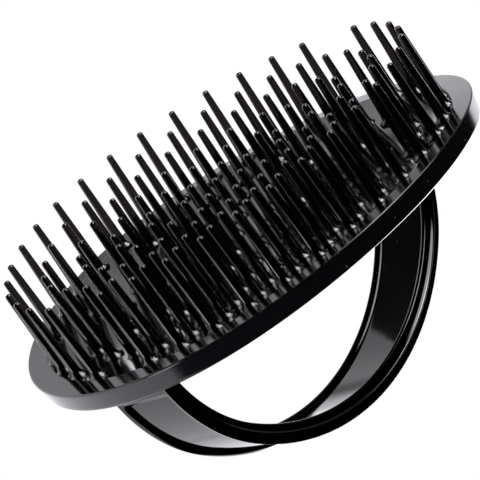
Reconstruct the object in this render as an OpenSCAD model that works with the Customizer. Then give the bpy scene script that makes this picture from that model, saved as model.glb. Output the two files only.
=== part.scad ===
// Round scalp brush with a finger loop.
// It stands on the tips of its pins, with the loop on top. X runs along the span of the
// loop, Y along its width, and the floor is at Z = 0. All sizes are in millimetres.

/* [Plate] */
// Diameter of the round plate
plate_d = 85; // [80:1:90]
// Height of the side wall at the rim
rim_h = 3.2; // [2.6:0.1:4]
// How far the side wall draws in towards its back edge
rim_draft = 1; // [0:0.1:1.2]
// Width of the plain border round the pins
border_w = 3.7; // [3:0.1:5]
// How deep the dished floor lies behind the border
dish_depth = 4.8; // [3.5:0.1:5.5]
// Thickness of the dished floor
floor_t = 2.4; // [1.8:0.1:3]
// How far the two ends under the loop's feet bend back
bend_sag = 1.9; // [0.5:0.1:2.5]

/* [Pins] */
// Concentric rows of pins round the centre pin
pin_rows = 6; // [6]
// Distance between two rows
row_pitch = 6.24; // [5.9:0.02:6.24]
// Length of a pin from the floor to its tip
pin_len = 13.9; // [10:0.1:16]
// Diameter of a pin above its foot
pin_base_d = 1.72; // [1.5:0.02:1.9]
// Diameter of a pin at its tip
pin_tip_d = 1.16; // [1:0.02:1.3]
// Corner radius round the flat end of a tip
tip_round = 0.25; // [0.1:0.05:0.25]
// Diameter of the flared foot of a pin
foot_d = 3.4; // [2.4:0.1:3.6]
// Height of the flared foot
foot_h = 1.4; // [0.8:0.1:2]
// Outward lean of the outermost pins at the loop's ends, in degrees
lean_out = 2.8; // [0:0.1:4]
// Inward lean of the outermost pins at the loop's sides, in degrees
lean_in = 1.3; // [0:0.1:3]

/* [Finger loop] */
// Width of the loop at its widest line, just under the back of the plate
loop_span = 74.8; // [70:0.2:76]
// Height of the crown above that line
loop_rise = 31.3; // [29:0.1:34]
// Height of that line above the lowest part of the border's back
loop_lift = 0.5; // [0:0.1:1]
// How far the loop sits off the plate's centre, along X
loop_shift = -0.5; // [-0.8:0.1:0.8]
// Radius of the loop's two shoulders
shoulder_r = 27.5; // [26:0.5:28.5]
// Width of the band, along the fingers
band_w = 12.4; // [10:0.2:14]
// Thickness of the band at its two beads
band_t = 3; // [2.8:0.1:3.6]
// Width of each bead along the band's edges
bead_w = 1.2; // [1:0.1:2]
// Thickness of the web between the beads, which lies midway through the band
web_t = 1.6; // [0.8:0.1:1.8]
// Height above the widest line at which the recesses beside the web begin
foot_top = 3.6; // [3:0.1:5]
// Corner radius of the recesses where they begin
recess_r = 1.2; // [0.5:0.1:3]

/* [Hidden] */
$fn = 96;
black = "#17171a";

plate_r = plate_d / 2;
mouth_r = plate_r - border_w;
outer_row_r = pin_rows * row_pitch;

// The plate is bent round an axis along Y, so its ends along X stand higher by bend_sag.
bend_r = (plate_r * plate_r + bend_sag * bend_sag) / (2 * bend_sag);
function bend_z(x) = bend_r - sqrt(bend_r * bend_r - x * x);

// The dished floor is a torus patch with one radius along Y and a larger one along X,
// so that it meets the bent border on a circle of radius mouth_r.
function arc_r(half_chord, sagitta) = (half_chord * half_chord + sagitta * sagitta) / (2 * sagitta);
dish_ry = arc_r(mouth_r, dish_depth);
dish_rx = arc_r(mouth_r, dish_depth - bend_z(mouth_r));
dish_core = dish_rx - dish_ry;
function dish_drop(x, y) =
    dish_rx - sqrt(pow(dish_core + sqrt(dish_ry * dish_ry - y * y), 2) - x * x);

// The border's height at X = 0 makes the lowest tips touch the floor.
function lean_x(x) = lean_out * x / outer_row_r;
function lean_y(y) = -lean_in * y / outer_row_r;
function tip_reach(lean) = (pin_len - tip_round) * cos(lean)
    + (pin_tip_d / 2 - tip_round) * sin(lean) + tip_round;
border_z = tip_reach(lean_in) + dish_drop(0, outer_row_r) - dish_depth;
function floor_z(x, y) = border_z + dish_depth - dish_drop(x, y);

loop_z = border_z + rim_h + loop_lift;
barrel_half = plate_r + 8;
straight_h = 0.2;
pin_root = 0.5;
big = 200;

// A cylinder along Y whose lowest line is at height z
module bent_space(z, r) translate([0, 0, z + r]) rotate([90, 0, 0])
    cylinder(h = big, r = r, center = true, $fn = 360);

// The barrel under the dished floor, grown by a wall thickness
module barrel(grow) translate([0, 0, border_z + dish_depth - dish_rx]) rotate([90, 0, 0])
    rotate_extrude($fn = 360) intersection() {
        translate([dish_core, 0]) circle(r = dish_ry + grow, $fn = 360);
        translate([0, -barrel_half]) square([dish_rx + big, 2 * barrel_half]);
    }

// The round outline of the plate, with a side wall that draws in towards the back. It
// starts to draw in a little above the highest part of the bent border.
module outline() intersection() {
    cylinder(h = border_z + big / 4, r = plate_r, $fn = 180);
    translate([0, 0, border_z + bend_sag + straight_h - rim_h])
        cylinder(h = 6 * rim_h, r1 = plate_r + rim_draft, r2 = plate_r - 5 * rim_draft, $fn = 180);
}

module brush_plate() color(black) difference() {
    intersection() {
        bent_space(border_z, bend_r);
        union() {
            difference() {
                outline();
                bent_space(border_z + rim_h, bend_r - rim_h);
            }
            intersection() {
                outline();
                barrel(floor_t);
            }
        }
    }
    barrel(0);
}

// One pin, pointing down from the floor, with a flared foot and a flat, rounded tip
module pin() {
    base_r = pin_base_d / 2;
    tip_r = pin_tip_d / 2;
    flare = foot_d / 2 - base_r;
    foot = [for (t = [0.25, 0.55, 1]) [base_r + flare * pow(1 - t, 3), -foot_h * t]];
    tip = [for (a = [0 : 30 : 90])
        [tip_r - tip_round * (1 - cos(a)), tip_round * (1 - sin(a)) - pin_len]];
    rotate_extrude($fn = 32) polygon(concat(
        [[0, pin_root], [foot_d / 2, pin_root], [foot_d / 2, -0.1]], foot, tip, [[0, -pin_len]]));
}

module placed_pin(x, y) translate([x, y, floor_z(x, y)])
    rotate([lean_y(y), -lean_x(x), 0]) pin();

// Row n has six pins for each step out. The outer row leaves out the two above the feet.
module pin_row(n) {
    count = 6 * n;
    for (i = [0 : count - 1]) {
        a = 90 + 360 * i / count;
        over_foot = n == pin_rows && abs(sin(a)) < 0.01;
        if (!over_foot) placed_pin(n * row_pitch * cos(a), n * row_pitch * sin(a));
    }
}

module centre_pin() color(black) placed_pin(0, 0);
module pin_row_1() color(black) pin_row(1);
module pin_row_2() color(black) pin_row(2);
module pin_row_3() color(black) pin_row(3);
module pin_row_4() color(black) pin_row(4);
module pin_row_5() color(black) pin_row(5);
module pin_row_6() color(black) pin_row(6);

// A four-centred oval, moved in by a distance from the outside of the loop
module oval(inset) {
    reach = loop_span / 2 - shoulder_r;
    crown_r = (reach * reach + loop_rise * loop_rise - shoulder_r * shoulder_r)
        / (2 * (loop_rise - shoulder_r));
    crown_drop = crown_r - loop_rise;
    join_x = (crown_r - inset) * reach / (crown_r - shoulder_r);
    for (side = [-1, 1]) translate([side * reach, 0])
        circle(r = shoulder_r - inset, $fn = 240);
    intersection() {
        translate([0, -crown_drop]) circle(r = crown_r - inset, $fn = 360);
        translate([-join_x, 0]) square([2 * join_x, big]);
    }
}

// The stretch of the loop between two distances from its outside, of width w along Y
module band(from, to, w) translate([loop_shift, 0, loop_z]) rotate([90, 0, 0])
    linear_extrude(height = w, center = true) difference() {
        oval(from);
        oval(to);
    }

// The space between the two beads, which starts above the feet with rounded corners
module between_beads() {
    half = band_w / 2 - bead_w;
    translate([0, 0, loop_z + foot_top]) rotate([90, 0, 90])
        linear_extrude(height = big, center = true) {
            translate([-half, recess_r]) square([2 * half, big]);
            translate([recess_r - half, 0]) square([2 * (half - recess_r), big]);
            for (side = [-1, 1]) translate([side * (half - recess_r), recess_r])
                circle(r = recess_r, $fn = 48);
        }
}

module finger_loop() color(black) difference() {
    intersection() {
        band(0, band_t, band_w);
        bent_space(border_z + rim_h, bend_r - rim_h);
    }
    barrel(floor_t);
    intersection() {
        between_beads();
        union() {
            band(-1, (band_t - web_t) / 2, band_w);
            band((band_t + web_t) / 2, band_t + 1, band_w);
        }
    }
}

brush_plate();
finger_loop();
centre_pin();
pin_row_1();
pin_row_2();
pin_row_3();
pin_row_4();
pin_row_5();
pin_row_6();
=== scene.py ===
import math
import bmesh
import bpy
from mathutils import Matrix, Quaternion, Vector


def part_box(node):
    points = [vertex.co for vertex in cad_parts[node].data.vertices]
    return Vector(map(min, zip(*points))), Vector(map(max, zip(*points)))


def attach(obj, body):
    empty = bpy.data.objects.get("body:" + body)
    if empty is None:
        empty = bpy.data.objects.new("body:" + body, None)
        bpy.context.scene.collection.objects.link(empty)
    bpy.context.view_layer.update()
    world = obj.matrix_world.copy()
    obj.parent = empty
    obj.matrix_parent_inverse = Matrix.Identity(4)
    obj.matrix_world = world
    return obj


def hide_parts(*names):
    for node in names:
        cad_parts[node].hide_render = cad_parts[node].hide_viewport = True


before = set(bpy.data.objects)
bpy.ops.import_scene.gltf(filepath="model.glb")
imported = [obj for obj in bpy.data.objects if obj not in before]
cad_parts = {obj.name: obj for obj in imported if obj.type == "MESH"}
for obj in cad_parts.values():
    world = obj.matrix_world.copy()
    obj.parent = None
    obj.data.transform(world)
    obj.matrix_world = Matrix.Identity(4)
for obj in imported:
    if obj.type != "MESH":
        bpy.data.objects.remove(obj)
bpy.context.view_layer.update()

# ---------------------------------------------------------------------------
# The brush plate. One glossy black injection moulding: a round plate with a
# plain border round a dished floor. Its two ends under the loop bend back.
# ---------------------------------------------------------------------------
plate_low, plate_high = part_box("brush_plate")
plate_r = (plate_high.y - plate_low.y) / 2
border_z = plate_low.z            # the border's level at the two ends along Y
rim_h = 0.0036                    # height of the side wall
rim_draft = 0.00062               # how far the side wall draws in towards its foot
border_w = 0.0037
dish_depth = 0.0048               # how deep the dished floor lies behind the border
floor_t = 0.0024                  # thickness of the dished floor
bend_sag = 0.0019                 # how far the two ends along X bend back
mouth_round = 0.0012              # rounding between the dished floor and the border
edge_round = 0.00025              # rounding between the border and the side wall
foot_round = 0.0007               # rounding between the side wall and the back
foot_steps = 9                    # faces across that last rounding
back_blend = 0.0008               # height over which the back's flat and bulge blend
back_gap = 0.0003                 # flat ring inside the foot's rounding
back_slope = 0.8                  # a face whose normal has more than this along Z is the back's
plate_sides = 240
floor_rings = 36
back_rings = 40

mouth_r = plate_r - border_w
bend_r = (plate_r ** 2 + bend_sag ** 2) / (2 * bend_sag)
dish_r = (mouth_r ** 2 + dish_depth ** 2) / (2 * dish_depth)


def dish_height(r):
    """Height of the dished floor over the border's level, at a distance from the axis."""
    return dish_depth - dish_r + math.sqrt(dish_r ** 2 - r ** 2)


def back_height(r):
    """Height of the plate's back: the bulge behind the dish, or the flat behind the rim."""
    bulge = dish_depth - dish_r + math.sqrt((dish_r + floor_t) ** 2 - r ** 2)
    gap = bulge - rim_h
    return rim_h + (gap + math.sqrt(gap ** 2 + back_blend ** 2)) / 2


def rounded(corner, before, after, radius, steps=5):
    """Points that round one corner of an outline, as (distance, height) pairs.

    The first and the last point lie just off the rounding and keep the straights flat.
    """
    beside = 0.00008
    into = (Vector(before) - Vector(corner)).normalized()
    out = (Vector(after) - Vector(corner)).normalized()
    reach = radius / math.tan(into.angle(out) / 2)
    start = Vector(corner) + into * reach
    end = Vector(corner) + out * reach
    points = [start + into * beside]
    for i in range(steps + 1):
        t = i / steps
        points.append(start * (1 - t) ** 2 + Vector(corner) * 2 * t * (1 - t) + end * t ** 2)
    points.append(end + out * beside)
    return [tuple(p) for p in points]


def turned(shape, outline, sides):
    """Turns (distance, height) pairs round the axis into rings of corners with faces between."""
    rings = []
    for r, z in outline:
        turns = [2 * math.pi * i / sides for i in range(sides)]
        rings.append([shape.verts.new((r * math.cos(a), r * math.sin(a), z)) for a in turns])
    for near, far in zip(rings, rings[1:]):
        for i in range(sides):
            j = (i + 1) % sides
            shape.faces.new((near[i], near[j], far[j], far[i]))
    return rings


def closed(shape, ring, height):
    """Closes a ring of corners with faces that meet in one point on the axis."""
    middle = shape.verts.new((0, 0, height))
    for i in range(len(ring)):
        shape.faces.new((middle, ring[(i + 1) % len(ring)], ring[i]))


mouth = (mouth_r, 0.0)
wall_top = (plate_r, 0.0)
wall_foot = (plate_r - rim_draft, rim_h)
back_r = plate_r - rim_draft - foot_round - back_gap
floor_radii = [mouth_r * i / floor_rings for i in range(1, floor_rings)]
back_radii = [back_r * i / back_rings for i in range(back_rings, 0, -1)]
outline = [(r, dish_height(r)) for r in floor_radii]
outline += rounded(mouth, outline[-1], wall_top, mouth_round)
outline += rounded(wall_top, mouth, wall_foot, edge_round)
outline += rounded(wall_foot, wall_top, (0.0, rim_h), foot_round, foot_steps)
outline += [(r, back_height(r)) for r in back_radii]

plate_mesh = bpy.data.meshes.new("plate")
shape = bmesh.new()
rings = turned(shape, [(r, border_z + z) for r, z in outline], plate_sides)
closed(shape, rings[0], border_z + dish_height(0))
closed(shape, rings[-1], border_z + back_height(0))
bmesh.ops.recalc_face_normals(shape, faces=shape.faces)
for face in shape.faces:
    face.smooth = True
shape.to_mesh(plate_mesh)
shape.free()
plate = bpy.data.objects.new("plate", plate_mesh)
bpy.context.scene.collection.objects.link(plate)


def start_tree(name, inputs):
    """A geometry tree with a geometry in, a geometry out and named inputs, and its two ends."""
    tree = bpy.data.node_groups.new(name, "GeometryNodeTree")
    tree.interface.new_socket("Geometry", in_out="INPUT", socket_type="NodeSocketGeometry")
    tree.interface.new_socket("Geometry", in_out="OUTPUT", socket_type="NodeSocketGeometry")
    for label, kind in inputs:
        tree.interface.new_socket(label, in_out="INPUT", socket_type="NodeSocket" + kind)
    return tree, tree.nodes.new("NodeGroupInput"), tree.nodes.new("NodeGroupOutput")


def end_tree(tree, geometry, tree_in, tree_out):
    """Gives a tree's geometry the material of its Finish input and puts it out."""
    painted = tree.nodes.new("GeometryNodeSetMaterial")
    tree.links.new(geometry, painted.inputs["Geometry"])
    tree.links.new(tree_in.outputs["Finish"], painted.inputs["Material"])
    tree.links.new(painted.outputs["Geometry"], tree_out.inputs["Geometry"])


def maths(tree, operation, a, b=None):
    """One Math node of a tree, fed by sockets or plain numbers, as its output socket."""
    node = tree.nodes.new("ShaderNodeMath")
    node.operation = operation
    for slot, value in zip(node.inputs, (a, b)):
        if value is None:
            continue
        if isinstance(value, (int, float)):
            slot.default_value = value
        else:
            tree.links.new(value, slot)
    return node.outputs[0]


def sagitta(tree, radius, reach):
    """How far an arc of a radius falls away at a reach from its middle, as a socket."""
    left = maths(tree, "SUBTRACT", maths(tree, "MULTIPLY", radius, radius),
                 maths(tree, "MULTIPLY", reach, reach))
    return maths(tree, "SUBTRACT", radius, maths(tree, "SQRT", left))


def fill_in(modifier, values):
    """Sets a modifier's inputs, which are known by their sockets' identifiers."""
    for item in modifier.node_group.interface.items_tree:
        if item.item_type == "SOCKET" and item.in_out == "INPUT" and item.name in values:
            modifier[item.identifier] = values[item.name]


def made_solid(holder, name):
    """The plain mesh object that a holder's modifiers make. The holder goes."""
    bpy.context.view_layer.update()
    seen = holder.evaluated_get(bpy.context.evaluated_depsgraph_get())
    mesh = bpy.data.meshes.new_from_object(seen)
    mesh.name = name
    piece = bpy.data.objects.new(name, mesh)
    bpy.context.scene.collection.objects.link(piece)
    bpy.data.objects.remove(holder)
    return piece


# The bend: every point moves back by the sagitta of its distance from the Y axis.
bend, bend_in, bend_out = start_tree("Plate bend", [("Bend radius", "Float"), ("Finish", "Material")])
place = bend.nodes.new("GeometryNodeInputPosition")
split = bend.nodes.new("ShaderNodeSeparateXYZ")
bend.links.new(place.outputs[0], split.inputs[0])
lift = bend.nodes.new("ShaderNodeCombineXYZ")
bend.links.new(sagitta(bend, bend_in.outputs["Bend radius"], split.outputs["X"]), lift.inputs["Z"])
moved = bend.nodes.new("GeometryNodeSetPosition")
bend.links.new(bend_in.outputs["Geometry"], moved.inputs["Geometry"])
bend.links.new(lift.outputs[0], moved.inputs["Offset"])
end_tree(bend, moved.outputs["Geometry"], bend_in, bend_out)

# What every black moulding of the brush shows: patches of more and less gloss, a slow
# waviness, a fine grain and a little dust. Scales are counts per metre.
patch_scale = 90
patch_edges = (0.35, 0.65)        # noise values of the glossiest and the dullest patches
speck_scale = 420
speck_edges = (0.05, 0.11)        # a speck's full middle and its rim, as shares of a cell
gather_scale = 240
gather_level = 0.58               # specks lie only where the noise is above this
dust_rough = 0.5
dust_grey = (0.16, 0.16, 0.18)
wave_scale = 45
wave_depth = 0.001
grain_scale = 2600
grain_depth = 0.00002

skin = bpy.data.node_groups.new("Moulded skin", "ShaderNodeTree")
for label, kind in (("Colour", "Color"), ("Dust colour", "Color"), ("Gloss low", "Float"),
                    ("Gloss high", "Float"), ("Wave", "Float"), ("Grain", "Float"),
                    ("Dust", "Float")):
    skin.interface.new_socket(label, in_out="INPUT", socket_type="NodeSocket" + kind)
for label, kind in (("Colour", "Color"), ("Roughness", "Float"), ("Normal", "Vector")):
    skin.interface.new_socket(label, in_out="OUTPUT", socket_type="NodeSocket" + kind)
skin_in = skin.nodes.new("NodeGroupInput")
skin_out = skin.nodes.new("NodeGroupOutput")
where = skin.nodes.new("ShaderNodeTexCoord")


def skin_noise(scale, detail):
    """A noise texture of the skin on Object coordinates, as its value's socket."""
    node = skin.nodes.new("ShaderNodeTexNoise")
    node.inputs["Scale"].default_value = scale
    node.inputs["Detail"].default_value = detail
    skin.links.new(where.outputs["Object"], node.inputs["Vector"])
    return node.outputs[0]


def skin_bump(height, depth, strength):
    """A Bump node of the skin with its height and its strength linked."""
    node = skin.nodes.new("ShaderNodeBump")
    node.inputs["Distance"].default_value = depth
    skin.links.new(height, node.inputs["Height"])
    skin.links.new(strength, node.inputs["Strength"])
    return node


gloss = skin.nodes.new("ShaderNodeMapRange")
gloss.inputs["From Min"].default_value, gloss.inputs["From Max"].default_value = patch_edges
skin.links.new(skin_noise(patch_scale, 3), gloss.inputs["Value"])
skin.links.new(skin_in.outputs["Gloss low"], gloss.inputs["To Min"])
skin.links.new(skin_in.outputs["Gloss high"], gloss.inputs["To Max"])

specks = skin.nodes.new("ShaderNodeTexVoronoi")
specks.inputs["Scale"].default_value = speck_scale
skin.links.new(where.outputs["Object"], specks.inputs["Vector"])
speck = skin.nodes.new("ShaderNodeMapRange")
speck.inputs["From Min"].default_value, speck.inputs["From Max"].default_value = speck_edges
speck.inputs["To Min"].default_value, speck.inputs["To Max"].default_value = (1, 0)
skin.links.new(specks.outputs["Distance"], speck.inputs["Value"])
gathered = maths(skin, "GREATER_THAN", skin_noise(gather_scale, 1), gather_level)
dust = maths(skin, "MULTIPLY", speck.outputs[0], gathered)
dust = maths(skin, "MULTIPLY", dust, skin_in.outputs["Dust"])
tinted = skin.nodes.new("ShaderNodeMix")
tinted.data_type = "RGBA"
skin.links.new(dust, tinted.inputs["Factor"])
skin.links.new(skin_in.outputs["Colour"], tinted.inputs["A"])
skin.links.new(skin_in.outputs["Dust colour"], tinted.inputs["B"])
skin.links.new(tinted.outputs["Result"], skin_out.inputs["Colour"])
dulled = maths(skin, "MAXIMUM", gloss.outputs[0], maths(skin, "MULTIPLY", dust, dust_rough))
skin.links.new(dulled, skin_out.inputs["Roughness"])

wave_bump = skin_bump(skin_noise(wave_scale, 2), wave_depth, skin_in.outputs["Wave"])
grain_bump = skin_bump(skin_noise(grain_scale, 2), grain_depth, skin_in.outputs["Grain"])
skin.links.new(wave_bump.outputs[0], grain_bump.inputs["Normal"])
skin.links.new(grain_bump.outputs[0], skin_out.inputs["Normal"])


def black_plastic(name, colour, gloss_low, gloss_high, wave, grain, dust, sheen=0.5, smoky=0):
    """A black moulding's material: the skin group feeds one Principled shader.

    The sheen is the strength of its reflections, and the smoky share lets light through.
    """
    material = bpy.data.materials.new(name)
    material.use_nodes = True
    shader = material.node_tree.nodes["Principled BSDF"]
    shader.inputs["IOR"].default_value = 1.5
    shader.inputs["Specular IOR Level"].default_value = sheen
    shader.inputs["Transmission Weight"].default_value = smoky
    group = material.node_tree.nodes.new("ShaderNodeGroup")
    group.node_tree = skin
    group.inputs["Colour"].default_value = (*colour, 1)
    group.inputs["Dust colour"].default_value = (*dust_grey, 1)
    group.inputs["Gloss low"].default_value = gloss_low
    group.inputs["Gloss high"].default_value = gloss_high
    group.inputs["Wave"].default_value = wave
    group.inputs["Grain"].default_value = grain
    group.inputs["Dust"].default_value = dust
    for made, fed in (("Colour", "Base Color"), ("Roughness", "Roughness"), ("Normal", "Normal")):
        material.node_tree.links.new(group.outputs[made], shader.inputs[fed])
    return material


plate_plastic = black_plastic("plate plastic", (0.008, 0.0078, 0.0095), gloss_low=0.07,
                              gloss_high=0.13, wave=0.05, grain=0.3, dust=0.7)
bender = plate.modifiers.new("Plate bend", "NODES")
bender.node_group = bend
fill_in(bender, {"Bend radius": bend_r, "Finish": plate_plastic})
plate = made_solid(plate, "moulded_plate")

# The back is satin, so that it shows only faintly in the loop's web.
back_plastic = black_plastic("plate back", (0.004, 0.004, 0.005), gloss_low=0.35,
                             gloss_high=0.45, wave=0.05, grain=0.3, dust=0.3, sheen=0.2)
plate.data.materials.append(back_plastic)
for face in plate.data.polygons:
    face.material_index = int(face.normal.z > back_slope)
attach(plate, "brush")
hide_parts("brush_plate")

# ---------------------------------------------------------------------------
# The pins. Tapered pins of smoky black plastic with flared feet and rounded tips,
# moulded in rings round a centre pin. The outer ring leaves out the two pins over
# the loop's feet.
# ---------------------------------------------------------------------------
pin_rows = 6
row_pitch = 0.00624
pin_len = 0.0139
pin_base_r = 0.00086
pin_tip_r = 0.000575
tip_round = 0.00042               # rounding round the small flat on the tip
foot_r = 0.0017
foot_h = 0.0014
foot_places = (0.25, 0.55, 1)     # shares of the foot's height where its outline has points
foot_edge = 0.0001                # height of the foot's straight edge
pin_root = 0.0005                 # how far a pin goes into the plate
pin_sides = 16
lean_out = math.radians(2.8)      # of the outermost pins at the loop's ends
lean_in = math.radians(1.3)       # of the outermost pins at the loop's sides
lean_stray = math.radians(0.5)    # how far a pin strays from that lean
over_foot_sine = 0.01             # an outer pin is left out where its angle's sine is under this
more_pins = 6                     # in each row than in the one inside it
stray_seed = 7
seed_gap = 100                    # between two rows' seeds

pin_outline = [(foot_r, pin_root), (foot_r, -foot_edge)]
pin_outline += [(pin_base_r + (foot_r - pin_base_r) * (1 - t) ** 3, -foot_h * t) for t in foot_places]
for degrees in (0, 30, 60, 90):
    a = math.radians(degrees)
    pin_outline.append((pin_tip_r - tip_round * (1 - math.cos(a)),
                        -pin_len + tip_round * (1 - math.sin(a))))

pin_mesh = bpy.data.meshes.new("pin")
shape = bmesh.new()
rings = turned(shape, pin_outline, pin_sides)
closed(shape, rings[-1], -pin_len)
root = shape.faces.new(rings[0])
bmesh.ops.recalc_face_normals(shape, faces=shape.faces)
for face in shape.faces:
    face.smooth = True
root.smooth = False
shape.to_mesh(pin_mesh)
shape.free()

# One ring of pins: points round the axis, each on the dished and bent floor, each
# with its lean, and a pin on every point that isn't over a foot of the loop.
ring, ring_in, ring_out = start_tree("Pin ring", [
    ("Row", "Int"), ("Pins", "Int"), ("Row pitch", "Float"), ("Border level", "Float"),
    ("Dish depth", "Float"), ("Dish radius", "Float"), ("Bend radius", "Float"),
    ("Lean out", "Float"), ("Lean in", "Float"), ("Stray", "Float"), ("Rows", "Int"),
    ("Seed", "Int"), ("Finish", "Material")])
row = ring_in.outputs["Row"]
distance = maths(ring, "MULTIPLY", row, ring_in.outputs["Row pitch"])
index = ring.nodes.new("GeometryNodeInputIndex").outputs[0]
turn = maths(ring, "DIVIDE", maths(ring, "MULTIPLY", index, 2 * math.pi), ring_in.outputs["Pins"])
turn = maths(ring, "ADD", turn, math.pi / 2)
along_x = maths(ring, "MULTIPLY", distance, maths(ring, "COSINE", turn))
along_y = maths(ring, "MULTIPLY", distance, maths(ring, "SINE", turn))
level = maths(ring, "ADD", ring_in.outputs["Border level"], ring_in.outputs["Dish depth"])
level = maths(ring, "SUBTRACT", level, sagitta(ring, ring_in.outputs["Dish radius"], distance))
level = maths(ring, "ADD", level, sagitta(ring, ring_in.outputs["Bend radius"], along_x))
spot = ring.nodes.new("ShaderNodeCombineXYZ")
for socket, value in zip(spot.inputs, (along_x, along_y, level)):
    ring.links.new(value, socket)
points = ring.nodes.new("GeometryNodePoints")
ring.links.new(ring_in.outputs["Pins"], points.inputs["Count"])
ring.links.new(spot.outputs[0], points.inputs["Position"])

outermost = maths(ring, "MULTIPLY", ring_in.outputs["Rows"], ring_in.outputs["Row pitch"])
row_seed = maths(ring, "ADD", maths(ring, "MULTIPLY", row, seed_gap), ring_in.outputs["Seed"])
stray = ring.nodes.new("FunctionNodeRandomValue")
stray.data_type = "FLOAT_VECTOR"
stray.inputs["Min"].default_value = (-1, -1, -1)
stray.inputs["Max"].default_value = (1, 1, 1)
ring.links.new(row_seed, stray.inputs["Seed"])
strays = ring.nodes.new("ShaderNodeSeparateXYZ")
ring.links.new(stray.outputs[0], strays.inputs[0])
lean = ring.nodes.new("ShaderNodeCombineXYZ")
for axis, along, lean_name in (("X", along_y, "Lean in"), ("Y", along_x, "Lean out")):
    tilt = maths(ring, "MULTIPLY", maths(ring, "DIVIDE", along, outermost), ring_in.outputs[lean_name])
    own = maths(ring, "MULTIPLY", strays.outputs[axis], ring_in.outputs["Stray"])
    ring.links.new(maths(ring, "SUBTRACT", own, tilt), lean.inputs[axis])

last_row = maths(ring, "COMPARE", row, ring_in.outputs["Rows"])
over_foot = maths(ring, "ABSOLUTE", maths(ring, "SINE", turn))
over_foot = maths(ring, "LESS_THAN", over_foot, over_foot_sine)
left_out = maths(ring, "MULTIPLY", last_row, over_foot)
kept = ring.nodes.new("GeometryNodeInstanceOnPoints")
ring.links.new(points.outputs[0], kept.inputs["Points"])
ring.links.new(ring_in.outputs["Geometry"], kept.inputs["Instance"])
ring.links.new(maths(ring, "SUBTRACT", 1, left_out), kept.inputs["Selection"])
ring.links.new(lean.outputs[0], kept.inputs["Rotation"])
whole = ring.nodes.new("GeometryNodeRealizeInstances")
ring.links.new(kept.outputs[0], whole.inputs[0])
end_tree(ring, whole.outputs[0], ring_in, ring_out)

pin_plastic = black_plastic("pin plastic", (0.014, 0.0105, 0.0115), gloss_low=0.06,
                            gloss_high=0.12, wave=0.02, grain=0.03, dust=0.4, smoky=0.9)
for number in range(pin_rows + 1):
    holder = bpy.data.objects.new("pin holder", pin_mesh)
    bpy.context.scene.collection.objects.link(holder)
    placer = holder.modifiers.new("Pin ring", "NODES")
    placer.node_group = ring
    fill_in(placer, {
        "Row": number, "Pins": max(1, more_pins * number), "Row pitch": row_pitch,
        "Border level": border_z, "Dish depth": dish_depth, "Dish radius": dish_r,
        "Bend radius": bend_r, "Lean out": lean_out, "Lean in": lean_in,
        "Stray": lean_stray, "Rows": pin_rows, "Seed": stray_seed, "Finish": pin_plastic})
    node_name = "pin_row_%d" % number if number else "centre_pin"
    pins = made_solid(holder, "pins_row_%d" % number if number else "middle_pin")
    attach(pins, "brush")
    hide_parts(node_name)

# ---------------------------------------------------------------------------
# The finger loop. A second black moulding: an arched band with a bead along each
# edge and a thin web between them. Its two solid feet stand on the plate's back.
# ---------------------------------------------------------------------------
loop_low, loop_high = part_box("finger_loop")
loop_shift = (loop_low.x + loop_high.x) / 2
loop_half = (loop_high.x - loop_low.x) / 2
loop_rise = 0.0313                # from the loop's widest line up to its crown
loop_z = loop_high.z - loop_rise
shoulder_r = 0.0275
arch_start = math.radians(-12)    # the outward direction at the right foot's end
arch_turn = math.radians(204)     # how far it turns from foot to foot
arch_steps = 300
half_w = (loop_high.y - loop_low.y) / 2
band_t = 0.0035
outer_round = 0.0001              # rounding of the side faces' outer edges
inner_round = 0.0006              # rounding of their inner edges
ridge_r = 0.00012                 # the parting line's radius
ridge_depth = 0.00145             # its depth from the outside at the crown
ridge_slant = 0.00055             # how much nearer the outside it runs on the right leg
bead_lean = 0.176                 # slope of each bead's top, down towards the web
bead_top = 0.0003                 # how far that slope reaches in from the band's edge
bead_fade = 0.0004                # how far past that the slope fades out
bead_curve = 0.0011               # radius of the curve from there down to the web
bead_drop = 0.00105               # how far that curve reaches in
groove_depth = 0.00003            # of the faint hollow along the foot of the curve
groove_w = 0.0003
recess_low = 0.0036               # height of the recesses' lower ends above the widest line
recess_round = 0.0012             # corner radius of those ends
foot_sunk = 0.0006                # how far the feet go into the plate's back

crown_reach = loop_half - shoulder_r
crown_r = ((crown_reach ** 2 + loop_rise ** 2 - shoulder_r ** 2)
           / (2 * (loop_rise - shoulder_r)))
crown_drop = crown_r - loop_rise
shoulder_turn = math.atan2(crown_drop, crown_reach)


def arch(t):
    """Place and outward direction on the loop's outside; t runs from 0 to 1, foot to foot."""
    turn = arch_start + arch_turn * t
    side = 1 if turn < math.pi / 2 else -1
    up = turn if side > 0 else math.pi - turn
    out = Vector((math.cos(up) * side, 0, math.sin(up)))
    if up < shoulder_turn:
        centre, radius = Vector((side * crown_reach, 0, 0)), shoulder_r
    else:
        centre, radius = Vector((0, 0, -crown_drop)), crown_r
    return Vector((loop_shift, 0, loop_z)) + centre + out * radius, out


def sunk(y, height):
    """How far the band's face lies below its edge, at a place across the band and up it."""
    inward = max(half_w - abs(y), 0)
    fade = min(max(inward - bead_top, 0) / bead_fade, 1)
    lean = bead_lean * (min(inward, bead_top) + bead_fade * (fade - fade ** 2 / 2))
    u, w = inward - bead_top, height - recess_low
    if u < recess_round and w < recess_round:
        inside = recess_round - math.hypot(recess_round - u, recess_round - w)
    else:
        inside = min(u, w)
    d = min(max(inside, 0), bead_drop)
    groove = groove_depth * math.exp(-((inside - bead_drop) / groove_w) ** 2)
    return lean + bead_curve - math.sqrt(bead_curve ** 2 - d ** 2) + groove


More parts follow.
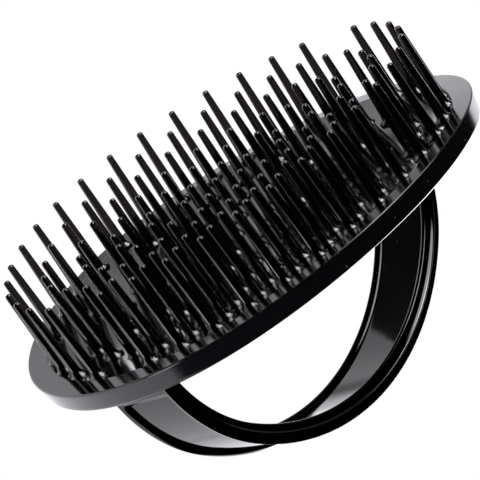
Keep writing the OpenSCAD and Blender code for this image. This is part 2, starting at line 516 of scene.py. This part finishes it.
def side_points(ridge_at):
    """The side face from outside to inside: two rounded edges and the parting line.

    Each point has its place across, its depth from the outside, and the way in which
    the beads' shape moves it.
    """
    points = []
    for degrees in range(0, 91, 18):
        a = math.radians(degrees)
        points.append((half_w - outer_round * (1 - math.sin(a)), outer_round * (1 - math.cos(a)), 1))
    for degrees in range(0, 181, 30):
        a = math.radians(degrees)
        points.append((half_w + ridge_r * math.sin(a), ridge_at - ridge_r * math.cos(a), 0))
    for i in range(8, -1, -1):
        a = math.radians(90 * i / 8)
        points.append((half_w - inner_round * (1 - math.sin(a)),
                       band_t - inner_round * (1 - math.cos(a)), -1))
    return points


# Places across the band's faces, closest together on the beads and at their feet
bead_foot = bead_top + bead_drop
steps_in = [0.00018, bead_top]
steps_in += [bead_top + bead_drop * i / 10 for i in range(1, 10)]
steps_in += [bead_foot + step for step in (-0.00001, 0, 0.00001, 0.00015, 0.0003, 0.0005,
                                           0.0008, 0.0014, 0.0024)]
across = [step - half_w for step in steps_in] + [-0.0012, 0]
across += [-y for y in reversed(across[:-1])]
inner_half_w = half_w - inner_round
across_inside = [y for y in reversed(across) if abs(y) < inner_half_w - 0.00005]

loop_mesh = bpy.data.meshes.new("finger_band")
shape = bmesh.new()
stations = []
for step in range(arch_steps + 1):
    edge, out = arch(step / arch_steps)
    side_face = side_points(ridge_depth - ridge_slant * out.x)
    section = [(y, 0.0, 1) for y in across] + side_face
    section += [(y, band_t, -1) for y in across_inside]
    section += [(-y, depth, bite) for y, depth, bite in reversed(side_face)]
    station = []
    for y, depth, bite in section:
        depth += bite * sunk(y, (edge - out * depth).z - loop_z)
        station.append(shape.verts.new(edge - out * depth + Vector((0, y, 0))))
    stations.append(station)
count = len(section)
for near, far in zip(stations, stations[1:]):
    for i in range(count):
        j = (i + 1) % count
        face = shape.faces.new((near[i], near[j], far[j], far[i]))
        face.material_index = int(section[i][2] == 0 and section[j][2] == 0)
bmesh.ops.recalc_face_normals(shape, faces=shape.faces)

# The ends are cut level a little inside the plate's back, which the band meets at a slant.
back_level = border_z + rim_h + bend_r - math.sqrt(bend_r ** 2 - loop_half ** 2)
bmesh.ops.bisect_plane(shape, geom=shape.verts[:] + shape.edges[:] + shape.faces[:],
                       plane_co=(0, 0, back_level - foot_sunk), plane_no=(0, 0, -1),
                       clear_outer=True)
bmesh.ops.holes_fill(shape, edges=[e for e in shape.edges if e.is_boundary])
bmesh.ops.recalc_face_normals(shape, faces=shape.faces)
for face in shape.faces:
    face.smooth = len(face.verts) < 6
shape.to_mesh(loop_mesh)
shape.free()

loop_plastic = black_plastic("loop plastic", (0.0008, 0.0008, 0.001), gloss_low=0.04,
                             gloss_high=0.08, wave=0.12, grain=0.15, dust=0.25)
line_plastic = black_plastic("parting line", (0.003, 0.003, 0.004), gloss_low=0.3,
                             gloss_high=0.4, wave=0, grain=0.3, dust=0)
loop_mesh.materials.append(loop_plastic)
loop_mesh.materials.append(line_plastic)
finger_band = bpy.data.objects.new("finger_band", loop_mesh)
bpy.context.scene.collection.objects.link(finger_band)
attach(finger_band, "brush")
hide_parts("finger_loop")

# ---------------------------------------------------------------------------
# The floor, a plain pale sheet of matt paper under the pin tips. It shows from
# above only, so a camera below the tips looks up through it, and no gloss shows it.
# ---------------------------------------------------------------------------
floor_half = 1.5
floor_mesh = bpy.data.meshes.new("floor")
corners = [(-1, -1), (1, -1), (1, 1), (-1, 1)]
floor_mesh.from_pydata([(x * floor_half, y * floor_half, 0) for x, y in corners], [], [(0, 1, 2, 3)])
floor = bpy.data.objects.new("floor", floor_mesh)
bpy.context.scene.collection.objects.link(floor)
paper = bpy.data.materials.new("floor paper")
paper.use_nodes = True
nodes, links = paper.node_tree.nodes, paper.node_tree.links
paper_shader = nodes["Principled BSDF"]
paper_shader.inputs["Base Color"].default_value = (0.62, 0.62, 0.61, 1)
paper_shader.inputs["Roughness"].default_value = 0.9
clear = nodes.new("ShaderNodeBsdfTransparent")
facing = nodes.new("ShaderNodeNewGeometry")
either = nodes.new("ShaderNodeMixShader")
links.new(facing.outputs["Backfacing"], either.inputs[0])
links.new(paper_shader.outputs[0], either.inputs[1])
links.new(clear.outputs[0], either.inputs[2])
links.new(either.outputs[0], nodes["Material Output"].inputs["Surface"])
floor_mesh.materials.append(paper)
floor.visible_glossy = False

# ---------------------------------------------------------------------------
# The light: a white sweep behind and under the brush, a softbox over it, four small
# lamps and, on the camera's side, a dark room. Past the brush the camera sees white.
# ---------------------------------------------------------------------------
# The studio's own right, up and front lie at a slant to the brush.
studio_right = Vector((0.5336, 0.6476, 0.5440))
studio_up = Vector((0.5763, 0.1923, -0.7943))
studio_front = Vector((-0.6190, 0.7373, -0.2706))
room_light = 0.006
sweep_light = 2.5
sweep_falls = ((0.0, 0.60), (0.12, 0.64), (0.22, 0.95), (0.30, 0.60), (0.38, 0.53), (0.45, 0.40),
               (0.52, 0.22), (0.75, 0.08))    # how far up, and how bright the sweep is there
# Each soft edge runs from the place where the light is gone to the place where it is full.
sweep_front = (0.19, 0.11)        # towards the camera
sweep_side = (0.58, 0.50)         # on the right
sweep_top = (0.36, 0.28)          # above this the sweep is gone left of the next edge
sweep_top_left = (-0.32, -0.20)
sweep_low = (-0.72, -0.55)        # below this the sweep is gone right of the next edge
sweep_low_right = (0.02, -0.10)
softbox_light = 13.0
softbox_right = 0.05              # how far right the softbox's middle line lies
softbox_width = (0.32, 0.22)      # on both sides of that line
softbox_back = (-0.15, -0.02)     # behind the brush
softbox_near = (0.74, 0.62)       # on the camera's side
softbox_low = (0.3, 0.5)          # towards the brush's own level
# The way to each lamp as (right, up, front), the degrees from its middle to where it is
# gone and to where it is full, and its strength
lamps = (((-0.58, 0.52, -0.63), (24, 14), 0.9),     # a reflector, high on the left behind
         ((0.40, 0.65, 0.64), (16, 10), 7.0),       # the key light, high on the right in front
         ((0.48, -0.28, -0.83), (20, 12), 9.0),     # the rim light, low on the right behind
         ((-0.53, -0.80, 0.28), (10, 6), 10.0))     # the strip light, below on the left

world = bpy.data.worlds.new("studio")
world.use_nodes = True
bpy.context.scene.world = world
bpy.context.scene.view_settings.view_transform = "Standard"
studio = world.node_tree
studio.nodes.clear()
way = studio.nodes.new("ShaderNodeTexCoord")


def reach_along(direction):
    """How far a world direction points along another one, as a socket."""
    node = studio.nodes.new("ShaderNodeVectorMath")
    node.operation = "DOT_PRODUCT"
    node.inputs[1].default_value = direction
    studio.links.new(way.outputs["Generated"], node.inputs[0])
    return node.outputs["Value"]


def soft_step(value, gone, full):
    """0 on one side of a soft edge and 1 on the other, with a smooth rise between them."""
    node = studio.nodes.new("ShaderNodeMapRange")
    node.interpolation_type = "SMOOTHSTEP"
    node.inputs["From Min"].default_value = min(gone, full)
    node.inputs["From Max"].default_value = max(gone, full)
    node.inputs["To Min"].default_value = 0 if gone < full else 1
    node.inputs["To Max"].default_value = 1 if gone < full else 0
    studio.links.new(value, node.inputs["Value"])
    return node.outputs[0]


def masked(light, *masks):
    """A light's socket, multiplied by each mask."""
    for mask in masks:
        light = maths(studio, "MULTIPLY", light, mask)
    return light


right, up, front = (reach_along(axis) for axis in (studio_right, studio_up, studio_front))
fall = studio.nodes.new("ShaderNodeValToRGB")
studio.links.new(up, fall.inputs[0])
ramp = fall.color_ramp.elements
for element, (place, level) in zip(ramp, (sweep_falls[0], sweep_falls[-1])):
    element.position, element.color = place, (level, level, level, 1)
for place, level in sweep_falls[1:-1]:
    ramp.new(place).color = (level, level, level, 1)
top_mask = maths(studio, "MAXIMUM", soft_step(right, *sweep_top_left), soft_step(up, *sweep_top))
low_mask = maths(studio, "MAXIMUM", soft_step(right, *sweep_low_right), soft_step(up, *sweep_low))
sweep_part = masked(fall.outputs[0], soft_step(front, *sweep_front), soft_step(right, *sweep_side),
                    top_mask, low_mask)
aside = maths(studio, "ABSOLUTE", maths(studio, "SUBTRACT", right, softbox_right))
softbox_part = masked(soft_step(aside, *softbox_width), soft_step(front, *softbox_back),
                      soft_step(front, *softbox_near), soft_step(up, *softbox_low))
lights = [masked(sweep_part, sweep_light), masked(softbox_part, softbox_light)]
for (to_right, to_up, to_front), cone, strength in lamps:
    middle = (to_right * studio_right + to_up * studio_up + to_front * studio_front).normalized()
    gone, full = (math.cos(math.radians(degrees)) for degrees in cone)
    lights.append(masked(soft_step(reach_along(middle), gone, full), strength))
total = lights[0]
for light in lights[1:] + [room_light]:
    total = maths(studio, "ADD", total, light)

sweep = studio.nodes.new("ShaderNodeBackground")
sweep.inputs["Color"].default_value = (0.96, 0.95, 1, 1)
studio.links.new(total, sweep.inputs["Strength"])
backdrop = studio.nodes.new("ShaderNodeBackground")
backdrop.inputs["Color"].default_value = (1, 1, 1, 1)
path = studio.nodes.new("ShaderNodeLightPath")
seen = studio.nodes.new("ShaderNodeMixShader")
studio.links.new(path.outputs["Is Camera Ray"], seen.inputs[0])
studio.links.new(sweep.outputs[0], seen.inputs[1])
studio.links.new(backdrop.outputs[0], seen.inputs[2])
world_out = studio.nodes.new("ShaderNodeOutputWorld")
studio.links.new(seen.outputs[0], world_out.inputs["Surface"])

# ---------------------------------------------------------------------------
# The camera looks up at the pins from below the plate's near edge, rolled over so
# that the pins stand up to the left.
# ---------------------------------------------------------------------------
view_azimuth = math.radians(220.01)
view_elevation = math.radians(-15.70)
view_roll = math.radians(145.6)
view_distance = 0.7326
view_aim = Vector((-0.00176, -0.00123, 0.01527))
view_lens = 342.4                 # millimetres, on a sensor 36 mm wide

back = Vector((math.sin(view_azimuth) * math.cos(view_elevation),
               -math.cos(view_azimuth) * math.cos(view_elevation),
               math.sin(view_elevation)))
camera = bpy.data.objects.new("camera", bpy.data.cameras.new("camera"))
camera.data.lens = view_lens
camera.data.sensor_width = 36
camera.data.clip_start = 0.05
camera.data.clip_end = 20
camera.rotation_mode = "QUATERNION"
camera.location = view_aim + back * view_distance
camera.rotation_quaternion = ((-back).to_track_quat("-Z", "Y")
                              @ Quaternion((0, 0, 1), view_roll))
bpy.context.scene.collection.objects.link(camera)
bpy.context.scene.camera = camera
